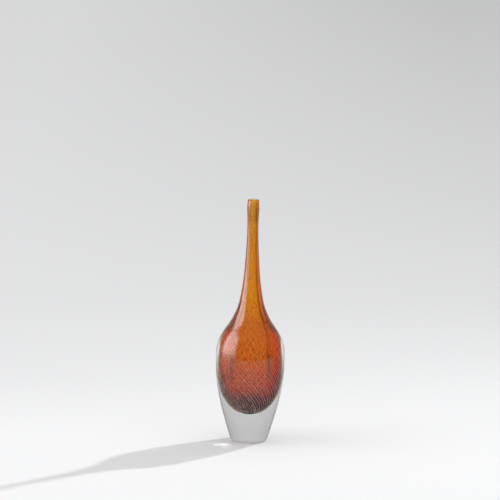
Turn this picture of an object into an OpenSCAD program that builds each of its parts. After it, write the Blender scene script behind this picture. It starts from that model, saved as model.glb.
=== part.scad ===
// Cased glass bud vase: a clear bubble with a thick bottom, coated with amber, ruby and aubergine
// glass, wound with pale threads, gathered in thick clear glass and drawn up into a long narrow
// neck. Everything is a solid of revolution about the Z axis, except the threads, which climb the
// bubble in a spiral.
// The origin is the centre of the flat ground foot, and +Z is up.

/* [Clear casing] */
// Height from the ground foot to the rim
height = 330; // [310:1:350]
// Widest diameter of the belly
belly_d = 93; // [88:1:98]
// Outer diameter of the straight mouth at the top of the neck
mouth_d = 15; // [14.6:0.2:17]
// Length of the straight mouth
mouth_length = 34; // [24:1:44]
// Diameter of the flat ground face under the foot
ground_d = 44; // [38:1:46]
// Radius of the rounded edge around the ground face
foot_round = 3; // [1.5:0.5:4]
// Outward lean of the wall above the foot, in degrees
foot_lean = 18; // [14:1:22]
// Radius of the fire-polished edges of the rim
rim_round = 0.8; // [0.3:0.1:1]

/* [Coloured bubble] */
// Widest diameter of the coloured bubble
bubble_d = 56; // [52:1:58]
// Height of the bubble's lowest point above the ground foot
bubble_floor = 41; // [38:1:46]
// Height of the bubble's rounded lower end
bubble_cap = 51; // [44:1:56]

/* [Well] */
// Height of the well's floor above the ground foot
well_floor = 53; // [51:1:60]
// Height of the well's rounded lower end
well_cap = 39; // [34:1:44]
// Thickness of the bubble's wall round the belly
belly_wall = 4; // [3.5:0.25:5.5]
// Thickness of the bubble's wall in the mouth
mouth_wall = 1.3; // [1.1:0.1:1.4]
// Diameter of the bore through the mouth
bore_d = 8.6; // [7.6:0.2:9]

/* [Colours] */
// Thickness of the amber coat round the belly
amber_coat = 0.7; // [0.5:0.05:0.9]
// Thickness of the amber coat in the mouth
amber_mouth = 0.6; // [0.4:0.05:0.7]
// Thickness of the ruby cup at the bottom of the bubble
ruby_floor = 1.6; // [1.2:0.2:2]
// Thickness of the aubergine cup at the bottom of the bubble
aubergine_floor = 2.4; // [1.6:0.2:2.6]

/* [Threads] */
// Number of pale threads round the bubble
cane_count = 42; // [8:1:43]
// Turns that each thread makes from the mouth to the bottom of the bubble
cane_turns = 1; // [0.4:0.1:1.2]
// Depth of the channel that holds the threads round the belly
belly_channel = 1.1; // [0.9:0.1:1.3]
// Depth of the channel that holds the threads in the neck
neck_channel = 0.5; // [0.4:0.05:0.6]

/* [Hidden] */
$fn = 96;

CANES = [for (i = [1:cane_count]) str("pale_cane_", i)];

belly_r = belly_d / 2;
mouth_r = mouth_d / 2;
ground_r = ground_d / 2;
bubble_r = bubble_d / 2;
bore_r = bore_d / 2;

mouth_start = height - mouth_length;
cap_centre = bubble_floor + bubble_cap;
well_centre = well_floor + well_cap;
ruby_top = 0.345 * height;
// Thickness of the aubergine cup's upper edge, and of the ruby cup's
cup_edge = 0.3;
ruby_edge = 0.15;

wall_step = 4;
cap_step = 6;
round_step = 15;

// The foot's rounded edge runs from the ground face up to the leaning wall.
foot_edge_end = 90 - foot_lean;
foot_edge_r = ground_r + foot_round * sin(foot_edge_end);
foot_edge_z = foot_round * (1 - cos(foot_edge_end));

// Stations of the outer wall: height and radius, from the foot's edge up to the mouth.
outer_wall = [
    [foot_edge_z, foot_edge_r],
    [0.09 * height, 0.72 * belly_r],
    [0.18 * height, 0.885 * belly_r],
    [0.26 * height, 0.975 * belly_r],
    [0.33 * height, belly_r],
    [0.39 * height, 0.9785 * belly_r],
    [0.43 * height, 0.89 * belly_r],
    [0.457 * height, 0.78 * belly_r],
    [0.485 * height, 0.64 * belly_r],
    [0.55 * height, 0.41 * belly_r],
    [0.635 * height, 0.28 * belly_r],
    [0.755 * height, 0.20 * belly_r],
    [mouth_start, mouth_r]
];

// Stations of the coloured bubble's outer wall above its rounded end.
bubble_wall = [
    [cap_centre, bubble_r],
    [0.36 * height, 0.985 * bubble_r],
    [0.425 * height, 0.95 * bubble_r],
    [0.475 * height, 0.77 * bubble_r],
    [0.53 * height, 0.54 * bubble_r],
    [0.62 * height, 0.36 * bubble_r],
    [0.755 * height, 0.25 * bubble_r],
    [mouth_start, bore_r + mouth_wall]
];

// Depth of each boundary inside the bubble's outer wall, as [height, depth].
on_the_bubble = [[0, 0]];
round_the_canes = [[cap_centre, -belly_channel], [mouth_start, -neck_channel]];
under_aubergine = [[cap_centre, cup_edge]];
under_ruby = [[cap_centre, 3 * cup_edge], [ruby_top, ruby_edge]];
under_amber = [
    [cap_centre, 3 * cup_edge + amber_coat],
    [ruby_top, ruby_edge + amber_coat],
    [mouth_start, amber_mouth]
];
round_the_well = [
    [0.38 * height, belly_wall],
    [0.5 * height, 0.8 * belly_wall],
    [mouth_start, mouth_wall]
];

// Depth of each boundary below the bubble at its lowest point.
aubergine_depth = aubergine_floor;
ruby_depth = aubergine_depth + ruby_floor;
amber_depth = ruby_depth + amber_coat;

// The casing closes the threads' channel with a seat under the bubble and a collar at the rim.
seat_angle = 12;
collar_length = 4;
collar_z = height - collar_length;

// The threads start below the collar and stop just outside the seat.
cane_top = collar_z - 1;
cane_end_angle = 18;
cane_fill = 0.54;

// Rise over run of the secant from station i to the next one.
function secant(wall, i) = (wall[i + 1][1] - wall[i][1]) / (wall[i + 1][0] - wall[i][0]);

function run(wall, i) = wall[i + 1][0] - wall[i][0];

// Slope of the curve at station i: given at the bottom, level at the top, and between them the
// slope of the parabola through the station and its neighbours.
function slope(wall, start, i) =
    i == 0 ? start :
    i == len(wall) - 1 ? 0 :
    (secant(wall, i - 1) * run(wall, i) + secant(wall, i) * run(wall, i - 1))
        / (run(wall, i - 1) + run(wall, i));

function station_below(wall, z) = max([for (i = [0:len(wall) - 2]) if (i == 0 || wall[i][0] <= z) i]);

// Radius of the smooth curve through the stations at height z, and above the last one its radius.
function radius_at(wall, start, z) =
    let (
        i = station_below(wall, z),
        rise = run(wall, i),
        t = min(1, (z - wall[i][0]) / rise)
    )
    wall[i][1] * (2 * t ^ 3 - 3 * t ^ 2 + 1)
        + wall[i + 1][1] * (3 * t ^ 2 - 2 * t ^ 3)
        + rise * slope(wall, start, i) * (t ^ 3 - 2 * t ^ 2 + t)
        + rise * slope(wall, start, i + 1) * (t ^ 3 - t ^ 2);

function outer_r(z) = radius_at(outer_wall, tan(foot_lean), z);

function bubble_r_at(z) = radius_at(bubble_wall, 0, z);

function reversed(points) = [for (i = [len(points) - 1:-1:0]) points[i]];

// Heights from low up to high in even steps of about wall_step, both ends included.
function heights(low, high) =
    let (steps = ceil((high - low) / wall_step))
    [for (i = [0:steps]) low + (high - low) * i / steps];

// Quarter of an ellipse about the axis, from one angle to another, counted from its lowest point.
function cap_points(radius, drop, centre, from, to) =
    let (steps = ceil((to - from) / cap_step))
    [for (i = [0:steps])
        let (a = from + (to - from) * i / steps)
        [radius * sin(a), centre - drop * cos(a)]];

// Wall of a boundary between two heights, the lower one left out.
function wall_points(depths, bottom, top) =
    [for (z = heights(bottom, min(top, mouth_start))) if (z > bottom)
        [bubble_r_at(z) - lookup(z, depths), z]];

// Rounded lower end of a boundary that lies at a depth inside the bubble.
function bubble_end(depths, floor_depth, from, to) =
    cap_points(bubble_r - lookup(cap_centre, depths), bubble_cap - floor_depth, cap_centre, from, to);

// A whole boundary from the axis up to height top.
function boundary(depths, floor_depth, top) =
    concat(bubble_end(depths, floor_depth, 0, 90), wall_points(depths, cap_centre, top));

// The well from its floor up to the straight mouth.
function well() =
    let (well_r = bubble_r_at(well_centre) - lookup(well_centre, round_the_well))
    concat(cap_points(well_r, well_cap, well_centre, 0, 90),
           wall_points(round_the_well, well_centre, mouth_start));

// Quarter of the rim's outer or inner edge, rounded to radius rim_round.
function rim_edge(edge_r, side) =
    [for (a = [0:round_step:90])
        [edge_r - side * rim_round * (1 - cos(a)), height - rim_round * (1 - sin(a))]];

// Outer outline of the clear casing, from the axis under the foot up to the rim.
function casing_outline() = concat(
    [[0, 0]],
    [for (a = [0:foot_edge_end / 4:foot_edge_end])
        [ground_r + foot_round * sin(a), foot_round * (1 - cos(a))]],
    [for (z = heights(foot_edge_z, mouth_start)) if (z > foot_edge_z) [outer_r(z), z]],
    rim_edge(mouth_r, 1)
);

// Inner outline of the clear casing: the seat, the channel round the threads and the collar.
function casing_hollow() = concat(
    bubble_end(on_the_bubble, 0, 0, seat_angle),
    bubble_end(round_the_canes, -belly_channel, seat_angle, 90),
    wall_points(round_the_canes, cap_centre, mouth_start),
    [[bore_r + mouth_wall + neck_channel, collar_z],
     [bore_r + mouth_wall, collar_z],
     [bore_r + mouth_wall, height]]
);

module revolved(outline) {
    rotate_extrude() polygon(outline);
}

// A layer of glass between two boundaries.
module layer(outside, inside) {
    revolved(concat(outside, reversed(inside)));
}

module clear_casing() {
    color([0.86, 0.88, 0.90, 0.35])
        revolved(concat(casing_outline(), reversed(casing_hollow())));
}

module aubergine_cup() {
    color([0.28, 0.17, 0.17])
        layer(bubble_end(on_the_bubble, 0, 0, 90),
              bubble_end(under_aubergine, aubergine_depth, 0, 90));
}

module ruby_cup() {
    color([0.70, 0.28, 0.20])
        layer(concat(bubble_end(under_aubergine, aubergine_depth, 0, 90),
                     [[bubble_r, cap_centre]],
                     wall_points(on_the_bubble, cap_centre, ruby_top)),
              boundary(under_ruby, ruby_depth, ruby_top));
}

module amber_sleeve() {
    color([0.80, 0.45, 0.10])
        layer(concat(boundary(under_ruby, ruby_depth, ruby_top),
                     [[bubble_r_at(ruby_top), ruby_top]],
                     wall_points(on_the_bubble, ruby_top, mouth_start),
                     [[bore_r + mouth_wall, height]]),
              concat(boundary(under_amber, amber_depth, mouth_start),
                     [[bore_r + mouth_wall - amber_mouth, height]]));
}

module clear_core() {
    color([0.86, 0.88, 0.90, 0.35])
        layer(concat(boundary(under_amber, amber_depth, mouth_start),
                     [[bore_r + mouth_wall - amber_mouth, height]]),
              concat(well(), rim_edge(bore_r, -1)));
}

// Depth of the threads' channel at height z.
function channel_at(z) = z > cap_centre ? -lookup(z, round_the_canes) : belly_channel;

// Turn of a thread at height z, in degrees: the twist tightens towards the bottom.
function twist_at(z) =
    360 * cane_turns * ((cane_top - z) / (cane_top - bubble_floor)) ^ 1.3;

// Middle line of the threads' channel as [radius, height], from the mouth down to the seat.
function channel_line() = concat(
    reversed([for (z = heights(cap_centre, cane_top)) if (z > cap_centre)
        [bubble_r_at(z) + channel_at(z) / 2, z]]),
    reversed(cap_points(bubble_r + belly_channel / 2, bubble_cap + belly_channel / 2, cap_centre,
                        cane_end_angle, 90))
);

// Square section of a thread at a point of the channel's middle line.
function cane_ring(p, start) =
    let (a = start + twist_at(p[1]), half = cane_fill * channel_at(p[1]) / 2)
    [for (corner = [[-half, -half], [half, -half], [half, half], [-half, half]])
        [(p[0] + corner[0]) * cos(a) - corner[1] * sin(a),
         (p[0] + corner[0]) * sin(a) + corner[1] * cos(a),
         p[1]]];

// One thread, swept along the channel from the angle start.
module pale_cane(start) {
    rings = [for (p = channel_line()) cane_ring(p, start)];
    last = len(rings) - 1;
    sides = [for (i = [0:last - 1], k = [0:3])
        let (a = 4 * i + k, b = 4 * i + (k + 1) % 4)
        each [[a, a + 4, b], [b, a + 4, b + 4]]];
    color([0.93, 0.82, 0.76])
        polyhedron([for (r = rings) each r],
                   concat([[0, 1, 2], [0, 2, 3]],
                          sides,
                          [[4 * last, 4 * last + 2, 4 * last + 1],
                           [4 * last, 4 * last + 3, 4 * last + 2]]));
}

clear_casing();
aubergine_cup();
ruby_cup();
amber_sleeve();
clear_core();
for (i = [1:cane_count])
    pale_cane(360 * i / cane_count);
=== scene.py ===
"""Looks of the cased glass bud vase: blown clear glass with its colour coats and spiral threads, on
a pale studio sweep. Every shape is lathed or swept along rows read from the CAD frame, in metres."""

import math

import bmesh
import bpy
import numpy as np
from mathutils import Euler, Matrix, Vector


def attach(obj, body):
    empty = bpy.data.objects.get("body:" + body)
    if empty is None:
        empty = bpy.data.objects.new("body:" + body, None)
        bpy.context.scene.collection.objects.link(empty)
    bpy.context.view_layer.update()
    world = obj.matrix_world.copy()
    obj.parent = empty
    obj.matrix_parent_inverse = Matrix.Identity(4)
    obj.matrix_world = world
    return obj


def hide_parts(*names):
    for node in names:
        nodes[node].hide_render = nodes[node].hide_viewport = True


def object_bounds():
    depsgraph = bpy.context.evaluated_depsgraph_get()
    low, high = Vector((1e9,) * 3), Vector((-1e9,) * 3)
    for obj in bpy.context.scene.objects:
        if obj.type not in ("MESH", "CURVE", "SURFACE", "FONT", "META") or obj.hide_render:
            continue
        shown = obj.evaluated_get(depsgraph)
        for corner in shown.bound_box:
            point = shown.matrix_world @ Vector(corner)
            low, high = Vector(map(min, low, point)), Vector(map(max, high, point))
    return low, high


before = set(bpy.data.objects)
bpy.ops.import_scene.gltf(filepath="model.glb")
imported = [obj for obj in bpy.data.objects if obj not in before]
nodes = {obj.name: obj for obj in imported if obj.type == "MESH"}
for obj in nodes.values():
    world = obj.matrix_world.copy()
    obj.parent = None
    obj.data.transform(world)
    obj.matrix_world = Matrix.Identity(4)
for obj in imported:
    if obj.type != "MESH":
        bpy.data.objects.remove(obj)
cad_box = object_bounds()

MM = 0.001
HEIGHT = cad_box[1].z - cad_box[0].z
THREAD_NODES = sorted(n for n in nodes if n.startswith("pale_cane_"))

# How finely the smooth surfaces are cut
PROFILE_STEP = 1.5 * MM
LATHE_SEGMENTS = 160
THREAD_SIDES = 8
THREAD_STEP = 2.0 * MM

# Rows of a CAD wall closer together than this are one row
SAME_ROW = 0.05 * MM
# Fewest rows of a wall
SHORTEST_WALL = 6
# A facet whose outward slope is less than this is level
LEVEL = 1e-3
# A row nearer the axis than this is a point on it
ON_AXIS = 0.001 * MM

# Gap that keeps one colour coat's volume clear of the next
COAT_GAP = 0.02 * MM


# ---------------------------------------------------------------- shapes read from the frame


def linked_rows(neighbours):
    """Takes one chain of linked rows out of neighbours, and returns it."""
    chain = set()
    waiting = [next(iter(neighbours))]
    while waiting:
        row = waiting.pop()
        if row in neighbours:
            chain.add(row)
            waiting.extend(neighbours.pop(row))
    return chain


def wall_rows(node, facing):
    """Rows (radius, height) of the wall of a CAD node that faces away from the axis (facing 1) or
    towards it (facing -1), from low to high. A chain of only a few rows is a step, and no wall."""
    mesh = nodes[node].data
    row_of = [(round(math.hypot(v.co.x, v.co.y), 5), round(v.co.z, 5)) for v in mesh.vertices]
    neighbours = {}
    for face in mesh.polygons:
        outward = face.normal.x * face.center.x + face.normal.y * face.center.y
        if outward * facing > LEVEL * math.hypot(face.center.x, face.center.y):
            rows = {row_of[i] for i in face.vertices}
            for row in rows:
                neighbours.setdefault(row, set()).update(rows)
    wall = set()
    while neighbours:
        chain = linked_rows(neighbours)
        if len(chain) >= SHORTEST_WALL:
            wall |= chain
    rows = []
    for r, z in sorted(wall, key=lambda row: (row[1], row[0])):
        if not rows or math.dist((r, z), rows[-1]) > SAME_ROW:
            rows.append((r, z))
    return np.array(rows)


def smooth(points, step):
    """A smooth curve through points, cut into pieces about one step long."""
    points = np.asarray(points, float)
    lengths = np.linalg.norm(np.diff(points, axis=0), axis=1)
    secants = np.diff(points, axis=0) / lengths[:, None]
    slopes = np.empty_like(points)
    slopes[0] = secants[0]
    slopes[-1] = secants[-1]
    before = lengths[:-1, None]
    after = lengths[1:, None]
    slopes[1:-1] = (secants[:-1] * after + secants[1:] * before) / (before + after)
    pieces = []
    for i, length in enumerate(lengths):
        cuts = max(1, math.ceil(length / step))
        t = np.arange(cuts)[:, None] / cuts
        pieces.append(
            points[i] * (2 * t**3 - 3 * t**2 + 1)
            + points[i + 1] * (3 * t**2 - 2 * t**3)
            + slopes[i] * length * (t**3 - 2 * t**2 + t)
            + slopes[i + 1] * length * (t**3 - t**2)
        )
    pieces.append(points[-1:])
    return np.concatenate(pieces)


def finished_piece(name, bm):
    """Makes a smooth-shaded object of a bmesh."""
    bmesh.ops.recalc_face_normals(bm, faces=bm.faces)
    mesh = bpy.data.meshes.new(name)
    bm.to_mesh(mesh)
    bm.free()
    mesh.polygons.foreach_set("use_smooth", [True] * len(mesh.polygons))
    piece = bpy.data.objects.new(name, mesh)
    bpy.context.scene.collection.objects.link(piece)
    return piece


def lathe(name, outline):
    """A closed piece turned about the axis from an outline of (radius, height) rows; an outline
    that doesn't start and end on the axis is closed from its last row to its first."""
    bm = bmesh.new()
    turns = [2 * math.pi * k / LATHE_SEGMENTS for k in range(LATHE_SEGMENTS)]
    rings = []
    for r, z in outline:
        ring_turns = turns[:1] if r < ON_AXIS else turns
        rings.append([bm.verts.new((r * math.cos(a), r * math.sin(a), z)) for a in ring_turns])
    pairs = list(zip(rings, rings[1:]))
    if len(rings[0]) > 1:
        pairs.append((rings[-1], rings[0]))
    for low, high in pairs:
        for k in range(LATHE_SEGMENTS):
            n = (k + 1) % LATHE_SEGMENTS
            corners = [low[k % len(low)], low[n % len(low)], high[n % len(high)], high[k % len(high)]]
            bm.faces.new(list(dict.fromkeys(corners)))
    return finished_piece(name, bm)


def moved(rows, gap):
    """Rows moved by gap along their own normal, to the right of the way that they run."""
    along = np.gradient(rows, axis=0)
    along /= np.linalg.norm(along, axis=1)[:, None]
    return rows + gap * np.column_stack([along[:, 1], -along[:, 0]])


# ---------------------------------------------------------------- pieces


def glass_body():
    """All the clear glass as one body: the outer wall, the rim, the bore and the well."""
    outer = smooth(wall_rows("clear_casing", 1), PROFILE_STEP)
    inner = smooth(wall_rows("clear_core", -1), PROFILE_STEP)
    foot_centre = np.array([[0, outer[0][1]]])
    return lathe("blown_glass_body", np.concatenate([foot_centre, outer, inner[::-1]]))


def coat(name, node):
    """A colour coat between the CAD node's outer and inner walls, a hair thinner than the node."""
    outer = moved(smooth(wall_rows(node, 1), PROFILE_STEP), -COAT_GAP)
    inner = moved(smooth(wall_rows(node, -1), PROFILE_STEP), COAT_GAP)
    outer[0][0] = 0
    inner[0][0] = 0
    outer[-1][1] -= COAT_GAP
    inner[-1][1] -= COAT_GAP
    return lathe(name, np.concatenate([outer, inner[::-1]]))


def thread_rows(node):
    """Middle line and half-width of a CAD thread, from low to high, as (x, y, z, half-width)."""
    rings = {}
    for vertex in nodes[node].data.vertices:
        rings.setdefault(round(vertex.co.z, 5), set()).add(tuple(round(c, 7) for c in vertex.co))
    rows = []
    for z in sorted(rings):
        corners = np.array(list(rings[z]))
        middle = corners.mean(axis=0)
        half_width = np.linalg.norm(corners - middle, axis=1).mean() / math.sqrt(2)
        rows.append([*middle, half_width])
    return np.array(rows)


# How far a thread wanders round the axis, in radians, and how much its width varies
THREAD_WANDER = 0.03
THREAD_SWELL = 0.15
# Slow and fast bends and swellings along a thread, as radians of a sine wave
SLOW_BENDS = 9
FAST_BENDS = 31
SWELLINGS = 23
THREAD_SEED = 5


def hand_wound(rows, chance):
    """Rows of a thread with the small unevenness of hand work: it wanders round the axis and
    swells and thins along its length."""
    start, slow, fast, swell = chance.uniform(0, 2 * math.pi, 4)
    length = rows[:, 2] / rows[-1, 2]
    bends = 0.5 * np.sin(SLOW_BENDS * length + slow) + 0.25 * np.sin(FAST_BENDS * length + fast)
    turn = THREAD_WANDER * (0.5 * np.sin(start) + bends)
    x = rows[:, 0]
    y = rows[:, 1]
    uneven = rows.copy()
    uneven[:, 0] = x * np.cos(turn) - y * np.sin(turn)
    uneven[:, 1] = x * np.sin(turn) + y * np.cos(turn)
    uneven[:, 3] *= 1 + THREAD_SWELL * np.sin(SWELLINGS * length + swell)
    return uneven


def add_thread(bm, rows):
    """Sweeps a round section, as wide as rows say, along a thread's middle line."""
    line = smooth(rows, THREAD_STEP)
    along = np.gradient(line[:, :3], axis=0)
    along /= np.linalg.norm(along, axis=1)[:, None]
    out = line[:, :3] * [1, 1, 0]
    out -= along * (out * along).sum(axis=1)[:, None]
    out /= np.linalg.norm(out, axis=1)[:, None]
    side = np.cross(along, out)
    turns = [2 * math.pi * k / THREAD_SIDES for k in range(THREAD_SIDES)]
    rings = []
    for centre, radius, u, v in zip(line[:, :3], line[:, 3], out, side):
        spokes = [math.cos(a) * u + math.sin(a) * v for a in turns]
        rings.append([bm.verts.new(centre + radius * spoke) for spoke in spokes])
    for low, high in zip(rings, rings[1:]):
        for k in range(THREAD_SIDES):
            n = (k + 1) % THREAD_SIDES
            bm.faces.new([low[k], low[n], high[n], high[k]])
    bm.faces.new(rings[0])
    bm.faces.new(rings[-1])


def threads():
    """The spiral threads, joined in one piece."""
    bm = bmesh.new()
    chance = np.random.default_rng(THREAD_SEED)
    for node in THREAD_NODES:
        add_thread(bm, hand_wound(thread_rows(node), chance))
    return finished_piece("spiral_threads", bm)


# ---------------------------------------------------------------- materials


def new_material(name):
    """A material with an empty node tree, and its output node."""
    material = bpy.data.materials.new(name)
    material.use_nodes = True
    tree = material.node_tree
    tree.nodes.clear()
    return material, tree, tree.nodes.new("ShaderNodeOutputMaterial")


def add_node(tree, kind, **values):
    """Adds a shader node; each value goes to the input socket or the setting of that name."""
    node = tree.nodes.new("ShaderNode" + kind)
    for key, value in values.items():
        socket = node.inputs.get(key.replace("_", " "))
        if socket is not None:
            socket.default_value = value
        else:
            setattr(node, key, value)
    return node


def join(tree, source, output, target, socket):
    tree.links.new(source.outputs[output], target.inputs[socket])


def colour_ramp(tree, stops):
    """A colour ramp through colours, given as (place, colour)."""
    ramp = add_node(tree, "ValToRGB")
    elements = ramp.color_ramp.elements
    while len(elements) < len(stops):
        elements.new(0.5)
    for element, (where, colour) in zip(elements, stops):
        element.position = where
        element.color = (*colour, 1)
    return ramp


def grey_ramp(tree, stops, tint=(1, 1, 1)):
    """A colour ramp through grey levels, given as (place, level), all with the same faint tint."""
    return colour_ramp(tree, [(where, [level * t for t in tint]) for where, level in stops])


def share_of_height(tree, split):
    """A node that gives a point's height as a share of the vase's."""
    share = add_node(tree, "MapRange")
    share.inputs["From Max"].default_value = HEIGHT
    join(tree, split, "Z", share, "Value")
    return share


GLASS_IOR = 1.5
# Faint waves left by the blowing: how many per metre, how steep and how deep
WAVES_PER_METRE = 28
WAVE_STRENGTH = 0.05
WAVE_DEPTH = 0.5 * MM


def clear_glass():
    """Thick blown glass: clear, very glossy and faintly wavy."""
    material, tree, output = new_material("clear_blown_glass")
    glass = add_node(tree, "BsdfPrincipled", Roughness=0.0, IOR=GLASS_IOR)
    glass.inputs["Transmission Weight"].default_value = 1.0
    glass.inputs["Base Color"].default_value = (1, 1, 1, 1)
    place = add_node(tree, "TexCoord")
    waves = add_node(tree, "TexNoise", Scale=WAVES_PER_METRE, Detail=1.0)
    bump = add_node(tree, "Bump", Strength=WAVE_STRENGTH, Distance=WAVE_DEPTH)
    join(tree, place, "Object", waves, "Vector")
    join(tree, waves, "Fac", bump, "Height")
    join(tree, bump, "Normal", glass, "Normal")
    join(tree, glass, "BSDF", output, "Surface")
    return material


# Crossing cells: how many round the vase, their twist in radians per metre, and how strong
CELLS_ROUND = 17
CELL_TWIST = 33
CELL_STRENGTH = 0.2
# Streaks of the coloured glass: per metre across, how much they are drawn out, their twist in
# radians per metre of height, and the noise levels at which they are full and gone
STREAK_SCALE = 450
STREAK_DRAW = 0.04
STREAK_TWIST = 12
STREAK_FULL = 0.35
STREAK_GONE = 0.6
# How deep the colour is, at shares of the vase's height
COLOUR_DEPTH = [(0.26, 0.0), (0.34, 1.0), (0.47, 1.0), (0.60, 0.0)]


def crossing_cells(tree, split):
    """Diamond cells left in the glass between the windings: two sets of waves climb round the axis
    with opposite twists, and a cell is where both are low. Returns a node that runs from -1 to 1."""
    angle = add_node(tree, "Math", operation="ARCTAN2")
    cells = add_node(tree, "Math", operation="MAXIMUM")
    join(tree, split, "Y", angle, 0)
    join(tree, split, "X", angle, 1)
    for i, twist in enumerate((CELL_TWIST, -CELL_TWIST)):
        climb = add_node(tree, "Math", operation="MULTIPLY_ADD")
        climb.inputs[1].default_value = twist
        phase = add_node(tree, "Math", operation="MULTIPLY")
        phase.inputs[1].default_value = CELLS_ROUND
        wave = add_node(tree, "Math", operation="SINE")
        join(tree, split, "Z", climb, 0)
        join(tree, angle, "Value", climb, 2)
        join(tree, climb, "Value", phase, 0)
        join(tree, phase, "Value", wave, 0)
        join(tree, wave, "Value", cells, i)
    return cells


def drawn_streaks(tree, place, split):
    """Fine streaks drawn out along the vase with the twist of the threads. Returns a noise node."""
    twist = add_node(tree, "Math", operation="MULTIPLY")
    twist.inputs[1].default_value = STREAK_TWIST
    untwisted = add_node(tree, "VectorRotate", rotation_type="Z_AXIS")
    drawn = add_node(tree, "Mapping", Scale=(1, 1, STREAK_DRAW))
    noise = add_node(tree, "TexNoise", Scale=STREAK_SCALE, Detail=2.0)
    join(tree, split, "Z", twist, 0)
    join(tree, place, "Object", untwisted, "Vector")
    join(tree, twist, "Value", untwisted, "Angle")
    join(tree, untwisted, "Vector", drawn, "Vector")
    join(tree, drawn, "Vector", noise, "Vector")
    return noise


def coloured_glass(name, tint, density, streak, deep=(1, 1, 1)):
    """A coat of coloured glass: it absorbs light through its whole depth, streaks and crossing
    cells make its colour uneven, and it is deepest at the widest part of the bubble."""
    material, tree, output = new_material(name)
    place = add_node(tree, "TexCoord")
    split = add_node(tree, "SeparateXYZ")
    cells = crossing_cells(tree, split)
    streaks = drawn_streaks(tree, place, split)
    uneven = add_node(tree, "Math", operation="MULTIPLY_ADD")
    uneven.inputs[1].default_value = CELL_STRENGTH
    streaky = colour_ramp(tree, [(STREAK_FULL, streak), (STREAK_GONE, (1, 1, 1))])
    height = share_of_height(tree, split)
    depth = grey_ramp(tree, COLOUR_DEPTH)
    deepened = add_node(tree, "Mix", data_type="RGBA", blend_type="MULTIPLY")
    deepened.inputs[7].default_value = (*deep, 1)
    surface = add_node(tree, "BsdfTransparent")
    volume = add_node(tree, "VolumeAbsorption", Color=(*tint, 1), Density=density)
    join(tree, place, "Object", split, "Vector")
    join(tree, cells, "Value", uneven, 0)
    join(tree, streaks, "Fac", uneven, 2)
    join(tree, uneven, "Value", streaky, "Fac")
    join(tree, height, "Result", depth, "Fac")
    join(tree, depth, "Color", deepened, 0)
    join(tree, streaky, "Color", deepened, 6)
    join(tree, deepened, 2, surface, "Color")
    join(tree, surface, "BSDF", output, "Surface")
    join(tree, volume, "Volume", output, "Volume")
    return material


# Colours and opacity of the threads, at shares of the vase's height
THREAD_COLOURS = [(0.23, (0.95, 0.76, 0.68)), (0.33, (1.0, 0.80, 0.30))]
THREAD_OPAL = [(0.26, 1.0), (0.34, 0.7), (0.44, 0.6), (0.56, 0.3)]
# Thin patches: how many per metre, the noise levels at which the opal is thinnest and whole, and
# the share of it that is left where it is thinnest
THREAD_PATCHES = 140
PATCH_THINNEST = 0.35
PATCH_WHOLE = 0.6
PATCH_LEAST = 0.4


def thread_glass():
    """Opal glass threads: dense and pale pink round the bottom of the bubble, amber and clearer
    above, and clearest in the neck. Patches of thin opal break up each thread."""
    material, tree, output = new_material("opal_thread_glass")
    place = add_node(tree, "TexCoord")
    split = add_node(tree, "SeparateXYZ")
    height = share_of_height(tree, split)
    colour = colour_ramp(tree, THREAD_COLOURS)
    opal = grey_ramp(tree, THREAD_OPAL)
    patches = add_node(tree, "TexNoise", Scale=THREAD_PATCHES, Detail=2.0)
    thin = add_node(tree, "MapRange")
    thin.inputs["From Min"].default_value = PATCH_THINNEST
    thin.inputs["From Max"].default_value = PATCH_WHOLE
    thin.inputs["To Min"].default_value = PATCH_LEAST
    cover = add_node(tree, "Math", operation="MULTIPLY")
    front = add_node(tree, "BsdfDiffuse")
    back = add_node(tree, "BsdfTranslucent")
    milky = add_node(tree, "MixShader", Fac=0.5)
    clear = add_node(tree, "BsdfTransparent")
    thread = add_node(tree, "MixShader")
    join(tree, place, "Object", split, "Vector")
    join(tree, height, "Result", colour, "Fac")
    join(tree, height, "Result", opal, "Fac")
    join(tree, place, "Object", patches, "Vector")
    join(tree, patches, "Fac", thin, "Value")
    join(tree, opal, "Color", cover, 0)
    join(tree, thin, "Result", cover, 1)
    join(tree, colour, "Color", front, "Color")
    join(tree, colour, "Color", back, "Color")
    join(tree, front, "BSDF", milky, 1)
    join(tree, back, "BSDF", milky, 2)
    join(tree, cover, "Value", thread, "Fac")
    join(tree, clear, "BSDF", thread, 1)
    join(tree, milky, "Shader", thread, 2)
    join(tree, thread, "Shader", output, "Surface")
    return material


# How far the painted light falloff of the sweep reaches before, behind and to either side of the
# vase, and its grey levels, painted brightest near the vase and darker away from it, from before the
# vase (0) to behind it (1), on the left and on the right
FLOOR_BEFORE = 1.0
FLOOR_BEHIND = 9.0
FLOOR_ASIDE = 0.4
FLOOR_LEFT_PAINTED_FALLOFF = [(0.10, 0.84), (0.14, 0.75), (0.20, 0.71), (0.57, 0.69)]
FLOOR_RIGHT_PAINTED_FALLOFF = [
    (0.06, 0.90),
    (0.10, 0.92),
    (0.133, 0.87),
    (0.163, 0.80),
    (0.203, 0.725),
    (0.3, 0.66),
    (0.56, 0.56),
]
FLOOR_TINT = (0.985, 0.99, 1.0)
# Grey levels of the painted shade that darkens the sweep as the glass sees it, standing in for the
# unlit room at the sides, over metres to the left or right of the vase, and how much wider they get
# for each metre behind it
PAINTED_ROOM_SHADE_LEVELS = [(0.12, 1.0), (0.36, 0.35), (0.8, 0.1)]
PAINTED_ROOM_SHADE_WIDENS = 3


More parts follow.
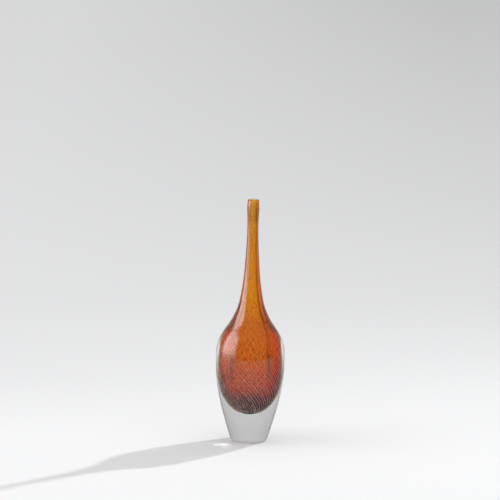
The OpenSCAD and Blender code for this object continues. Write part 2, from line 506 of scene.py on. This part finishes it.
def floor_with_painted_falloff(tree, split):
    """The colour of a pale sweep with painted light falloff: painted brightest close round the vase
    and darker away from it, most of all on the right.
    """
    depth = add_node(tree, "MapRange")
    depth.inputs["From Min"].default_value = -FLOOR_BEFORE
    depth.inputs["From Max"].default_value = FLOOR_BEHIND
    across = add_node(tree, "MapRange")
    across.inputs["From Min"].default_value = -FLOOR_ASIDE
    across.inputs["From Max"].default_value = FLOOR_ASIDE
    left = grey_ramp(tree, FLOOR_LEFT_PAINTED_FALLOFF, FLOOR_TINT)
    right = grey_ramp(tree, FLOOR_RIGHT_PAINTED_FALLOFF, FLOOR_TINT)
    both = add_node(tree, "Mix", data_type="RGBA")
    join(tree, split, "Y", depth, "Value")
    join(tree, split, "X", across, "Value")
    join(tree, depth, "Result", left, "Fac")
    join(tree, depth, "Result", right, "Fac")
    join(tree, across, "Result", both, 0)
    join(tree, left, "Color", both, 6)
    join(tree, right, "Color", both, 7)
    return both


def darken_with_painted_room_shade(tree, split, colour):
    """A colour with painted shade, standing in for the unlit room, that gets darker to the left and
    right of the vase, and less soon behind it.
    """
    outward = add_node(tree, "Math", operation="ABSOLUTE")
    behind = add_node(tree, "Math", operation="MULTIPLY_ADD")
    behind.inputs[1].default_value = PAINTED_ROOM_SHADE_WIDENS
    behind.inputs[2].default_value = 1
    room_width = add_node(tree, "Math", operation="MAXIMUM")
    room_width.inputs[1].default_value = 1
    share = add_node(tree, "Math", operation="DIVIDE")
    darker = grey_ramp(tree, PAINTED_ROOM_SHADE_LEVELS)
    shaded = add_node(tree, "Mix", data_type="RGBA", blend_type="MULTIPLY")
    shaded.inputs[0].default_value = 1
    join(tree, split, "X", outward, 0)
    join(tree, split, "Y", behind, 0)
    join(tree, behind, "Value", room_width, 0)
    join(tree, outward, "Value", share, 0)
    join(tree, room_width, "Value", share, 1)
    join(tree, share, "Value", darker, "Fac")
    join(tree, colour, 2, shaded, 6)
    join(tree, darker, "Color", shaded, 7)
    return shaded


def floor_material(name, painted_shade_at_sides=False):
    """A matt sweep with painted light falloff, which can also have painted shade at the sides."""
    material, tree, output = new_material(name)
    place = add_node(tree, "TexCoord")
    split = add_node(tree, "SeparateXYZ")
    colour = floor_with_painted_falloff(tree, split)
    if painted_shade_at_sides:
        colour = darken_with_painted_room_shade(tree, split, colour)
    matt = add_node(tree, "BsdfDiffuse")
    join(tree, place, "Object", split, "Vector")
    join(tree, colour, 2, matt, "Color")
    join(tree, matt, "BSDF", output, "Surface")
    return material


# ---------------------------------------------------------------- build the vase


body = glass_body()
body.data.materials.append(clear_glass())
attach(body, "root")
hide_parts("clear_casing", "clear_core")

# The colour of each coat: what a thin slice lets through, its density per metre, the colour of its
# streaks and, for the amber, how much darker it is at the belly
AMBER = dict(
    tint=(0.99, 0.79, 0.0),
    density=3500,
    streak=(0.96, 0.85, 0.65),
    deep=(0.93, 0.85, 0.68),
)
RUBY = dict(tint=(0.92, 0.40, 0.0), density=1500, streak=(0.97, 0.93, 0.92))
AUBERGINE = dict(tint=(0.50, 0.22, 0.08), density=1100, streak=(0.9, 0.85, 0.85))

for node, slot, look in (
    ("aubergine_cup", "aubergine_glass", AUBERGINE),
    ("ruby_cup", "ruby_glass", RUBY),
    ("amber_sleeve", "amber_glass", AMBER),
):
    piece = coat(node + "_glass", node)
    piece.data.materials.append(coloured_glass(slot + "_look", **look))
    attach(piece, "root")
    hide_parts(node)

strands = threads()
strands.data.materials.append(thread_glass())
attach(strands, "root")
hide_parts(*THREAD_NODES)


# ---------------------------------------------------------------- studio


FLOOR_REACH = 30
FLOOR_DROP = 0.2 * MM


def sweep(name, look, drop):
    """A wide flat floor, a drop below the vase's foot."""
    reach = FLOOR_REACH
    mesh = bpy.data.meshes.new(name)
    corners = [(-reach, -reach, 0), (reach, -reach, 0), (reach, reach, 0), (-reach, reach, 0)]
    mesh.from_pydata(corners, [], [(0, 1, 2, 3)])
    mesh.materials.append(look)
    piece = bpy.data.objects.new(name, mesh)
    piece.location.z = -drop
    bpy.context.scene.collection.objects.link(piece)
    piece.visible_glossy = False
    return piece


# The camera sees one sweep, and the glass refracts another; both have painted light falloff, and the
# refracted one also has painted shade at the sides that stands in for the dark room in which the vase
# stands.
seen_look = floor_material("sweep_painted_falloff")
seen_sweep = sweep("sweep_seen", seen_look, FLOOR_DROP)
seen_sweep.visible_shadow = False
seen_sweep.cycles.is_caustics_receiver = True
seen_sweep.visible_diffuse = False
seen_sweep.visible_transmission = False
body.cycles.is_caustics_caster = True
refracted_look = floor_material("sweep_painted_room_shade", painted_shade_at_sides=True)
refracted_sweep = sweep("sweep_refracted", refracted_look, 2 * FLOOR_DROP)
refracted_sweep.visible_camera = False


def soften_edges(lamp, margin):
    """Makes a soft box fade out over a margin, given as a share of its width and of its height."""
    lamp.use_nodes = True
    tree = lamp.node_tree
    place = add_node(tree, "NewGeometry")
    split = add_node(tree, "SeparateXYZ")
    both = add_node(tree, "Math", operation="MULTIPLY")
    join(tree, place, "Parametric", split, "Vector")
    for i, axis in enumerate("XY"):
        to_edge = add_node(tree, "Math", operation="PINGPONG")
        to_edge.inputs[1].default_value = 0.5
        fade = add_node(tree, "MapRange", interpolation_type="SMOOTHSTEP")
        fade.inputs["From Max"].default_value = margin
        join(tree, split, axis, to_edge, 0)
        join(tree, to_edge, "Value", fade, "Value")
        join(tree, fade, "Result", both, i)
    join(tree, both, "Value", tree.nodes["Emission"], "Strength")


def soft_box(name, place, target, size, radiance, margin):
    """A rectangular light at place, turned to face target, with soft edges."""
    lamp = bpy.data.lights.new(name, "AREA")
    lamp.shape = "RECTANGLE"
    lamp.size, lamp.size_y = size
    lamp.energy = radiance * math.pi * size[0] * size[1]
    soften_edges(lamp, margin)
    box = bpy.data.objects.new(name, lamp)
    box.location = place
    box.rotation_euler = (Vector(target) - Vector(place)).to_track_quat("-Z", "Y").to_euler()
    bpy.context.scene.collection.objects.link(box)
    return box


def distant_light(name, source, strength, width):
    """A light from the direction of source, as wide as an angle. The glass doesn't mirror it."""
    lamp = bpy.data.lights.new(name, "SUN")
    lamp.energy = strength
    lamp.angle = width
    light = bpy.data.objects.new(name, lamp)
    light.rotation_euler = source.to_track_quat("Z", "Y").to_euler()
    bpy.context.scene.collection.objects.link(light)
    light.visible_glossy = False
    return light


# The key light comes from the back right and throws the shadow to the front left.
KEY_AZIMUTH = math.radians(43.5)
KEY_ELEVATION = math.radians(33)
KEY_STRENGTH = 1.6
KEY_WIDTH = math.radians(2.6)

key_from = Vector(
    (
        math.sin(KEY_AZIMUTH) * math.cos(KEY_ELEVATION),
        math.cos(KEY_AZIMUTH) * math.cos(KEY_ELEVATION),
        math.sin(KEY_ELEVATION),
    )
)
key = distant_light("key_back_right", key_from, KEY_STRENGTH, KEY_WIDTH)
key.data.cycles.is_caustics_light = True

# A wide dim light from above softens the shadow.
OVERHEAD_STRENGTH = 1.2
OVERHEAD_WIDTH = math.radians(120)

distant_light("overhead_diffuser", Vector((0, 0, 1)), OVERHEAD_STRENGTH, OVERHEAD_WIDTH)

# The glass mirrors the soft box on the left; a fainter one there, which it doesn't mirror, lights
# the floor and the threads.
LEFT_MARGIN = 0.3
CARD_PLACE = (-2.97, -0.45, 1.45)
CARD_SIZE = (4.4, 4.65)
CARD_RADIANCE = 6.0
FILL_PLACE = (-2.97, -0.45, 1.6)
FILL_SIZE = (4.2, 3.8)
FILL_RADIANCE = 1.5

card_target = (0, 0, CARD_PLACE[2])
card = soft_box("soft_box_left", CARD_PLACE, card_target, CARD_SIZE, CARD_RADIANCE, LEFT_MARGIN)
card.visible_diffuse = False
card.visible_transmission = False
fill_target = (0, 0, HEIGHT / 2)
fill = soft_box("fill_left", FILL_PLACE, fill_target, FILL_SIZE, FILL_RADIANCE, LEFT_MARGIN)
fill.visible_glossy = False

# The glass mirrors the bright floor close round the vase, and beyond it the dark of the room.
GLOW_PLACE = (0.1, -0.34, 0.5 * MM)
GLOW_SIZE = (2.0, 0.9)
GLOW_RADIANCE = 0.93
GLOW_MARGIN = 0.35

above_glow = (GLOW_PLACE[0], GLOW_PLACE[1], 1)
glow = soft_box("floor_glow", GLOW_PLACE, above_glow, GLOW_SIZE, GLOW_RADIANCE, GLOW_MARGIN)
glow.visible_camera = False
glow.visible_diffuse = False
glow.visible_transmission = False

# Grey levels of the room behind the vase and before it, from level (0) to straight up (1), and how
# far towards the back the one has given way to the other
WORLD_BEHIND_VASE = [(0.0, 0.60), (0.12, 0.55), (0.4, 0.35), (0.8, 0.30)]
WORLD_BEFORE_VASE = [(0.0, 0.16), (0.25, 0.18), (0.8, 0.35)]
WORLD_TURN = 0.55


def studio_world():
    """A grey room, paler behind the vase than before it."""
    world = bpy.data.worlds.new("studio_world")
    world.use_nodes = True
    tree = world.node_tree
    tree.nodes.clear()
    output = add_node(tree, "OutputWorld")
    sky = add_node(tree, "Background", Strength=1.0)
    place = add_node(tree, "TexCoord")
    split = add_node(tree, "SeparateXYZ")
    behind = grey_ramp(tree, WORLD_BEHIND_VASE)
    before = grey_ramp(tree, WORLD_BEFORE_VASE)
    side = add_node(tree, "MapRange")
    side.inputs["From Max"].default_value = WORLD_TURN
    both = add_node(tree, "Mix", data_type="RGBA")
    join(tree, place, "Generated", split, "Vector")
    join(tree, split, "Z", behind, "Fac")
    join(tree, split, "Z", before, "Fac")
    join(tree, split, "Y", side, "Value")
    join(tree, side, "Result", both, 0)
    join(tree, before, "Color", both, 6)
    join(tree, behind, "Color", both, 7)
    join(tree, both, 2, sky, "Color")
    join(tree, sky, "Background", output, "Surface")
    return world


bpy.context.scene.world = studio_world()

# The camera looks at the vase from a little above, a long way off.
CAMERA_DISTANCE = 8.0
CAMERA_ELEVATION = math.radians(10)
CAMERA_ROLL = math.radians(1.16)
CAMERA_LENS = 427
# The point looked at, to the left of the axis and up, as shares of the vase's height
AIM_LEFT = 0.01
AIM_UP = 0.791

aim = HEIGHT * Vector((-AIM_LEFT, 0, AIM_UP))
camera_data = bpy.data.cameras.new("camera")
camera = bpy.data.objects.new("camera", camera_data)
bpy.context.scene.collection.objects.link(camera)
camera_data.sensor_width = 36
camera_data.lens = CAMERA_LENS
camera_data.clip_end = 100
back_and_up = Vector((0, -math.cos(CAMERA_ELEVATION), math.sin(CAMERA_ELEVATION)))
camera.location = aim + CAMERA_DISTANCE * back_and_up
facing = (aim - camera.location).to_track_quat("-Z", "Y")
camera.rotation_euler = (facing @ Euler((0, 0, CAMERA_ROLL)).to_quaternion()).to_euler()
bpy.context.scene.camera = camera

scene = bpy.context.scene
scene.view_settings.view_transform = "Standard"
scene.cycles.max_bounces = 32
scene.cycles.transmission_bounces = 32
scene.cycles.transparent_max_bounces = 96
